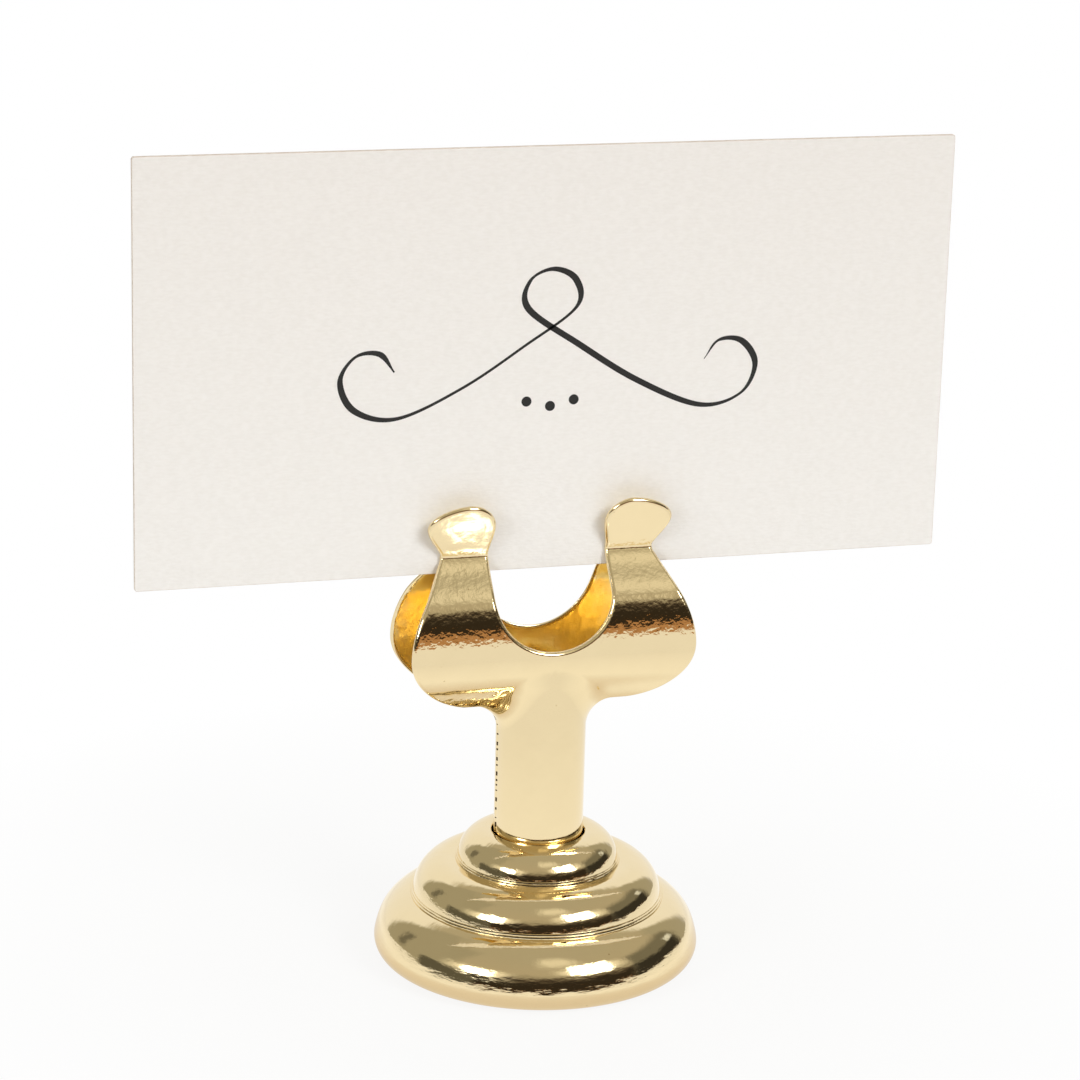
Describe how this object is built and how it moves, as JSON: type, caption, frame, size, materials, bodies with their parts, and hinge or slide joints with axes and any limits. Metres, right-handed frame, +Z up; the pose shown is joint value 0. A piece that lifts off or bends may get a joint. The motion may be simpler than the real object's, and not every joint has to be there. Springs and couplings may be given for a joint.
{
  "type": "place card holder",
  "caption": "Free-standing place card holder: a weighted stepped round base, a round stem and a two-leaf spring clip with flared ears that grips an upright blank card.",
  "frame": {"origin": "under the middle of the base, on the table", "axes": "+Z up along the stem, +X along the card's width to the right, -Y towards the reader of the card"},
  "size_m": [0.0888, 0.0356, 0.0905],
  "materials": {
    "gold_plate": "polished pale gold plate",
    "cast_slug": "as cast",
    "plain_steel": "zinc plated",
    "felt": "pressed felt",
    "card_stock": "uncoated felt-marked card"
  },
  "bodies": {
    "stand": {"base_shell": "gold_plate", "base_weight": "cast_slug", "base_pad": "felt", "lock_washer": "plain_steel", "base_screw": "plain_steel", "stem_core": "plain_steel", "front_stem_half": "gold_plate", "back_stem_half": "gold_plate"},
    "front_jaw": {"front_jaw": "gold_plate"},
    "back_jaw": {"back_jaw": "gold_plate"},
    "card": {"place_card": "card_stock"}
  },
  "joints": [
    {"name": "front_jaw_flex", "type": "hinge", "parent": "stand", "child": "front_jaw", "pos_m": [0, -0.00512, 0.03538], "axis": [1, 0, 0], "range_deg": [0, 6], "stiffness_Nm_per_rad": 0.4},
    {"name": "back_jaw_flex", "type": "hinge", "parent": "stand", "child": "back_jaw", "pos_m": [0, 0.00512, 0.03538], "axis": [-1, 0, 0], "range_deg": [0, 6], "stiffness_Nm_per_rad": 0.4},
    {"name": "card_lift", "type": "slide", "parent": "stand", "child": "card", "axis": [0, 0, 1], "range_m": [-0.014, 0.012]}
  ]
}
